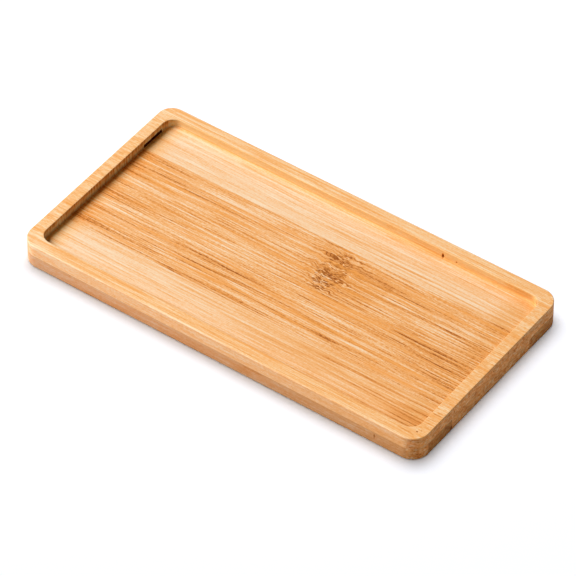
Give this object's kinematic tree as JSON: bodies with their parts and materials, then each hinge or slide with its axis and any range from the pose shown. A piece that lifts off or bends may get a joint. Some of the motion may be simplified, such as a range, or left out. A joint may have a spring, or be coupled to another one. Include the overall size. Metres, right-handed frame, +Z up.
{
  "type": "vanity tray",
  "caption": "Small rectangular bamboo vanity tray with round corners and a shallow milled recess inside a narrow rim, pressed from glued strips, for bottles and trinkets.",
  "frame": {"origin": "middle of the flat underside", "axes": "+X along the tray with the grain, +Y across it from the near long side to the far one, +Z up out of the recess"},
  "size_m": [0.195, 0.1, 0.0115],
  "materials": {
    "upper_bamboo": "sanded, clear satin lacquer",
    "lower_bamboo": "sanded, clear satin lacquer",
    "glue": "cured resin film"
  },
  "bodies": {
    "root": {"lower_strip_1": "lower_bamboo", "lower_strip_2": "lower_bamboo", "lower_strip_3": "lower_bamboo", "lower_strip_4": "lower_bamboo", "lower_glue_line_1": "glue", "lower_glue_line_2": "glue", "lower_glue_line_3": "glue", "ply_glue_film": "glue", "upper_strip_1": "upper_bamboo", "upper_strip_2": "upper_bamboo", "upper_strip_3": "upper_bamboo", "upper_strip_4": "upper_bamboo", "upper_glue_line_1": "glue", "upper_glue_line_2": "glue", "upper_glue_line_3": "glue"}
  },
  "joints": []
}
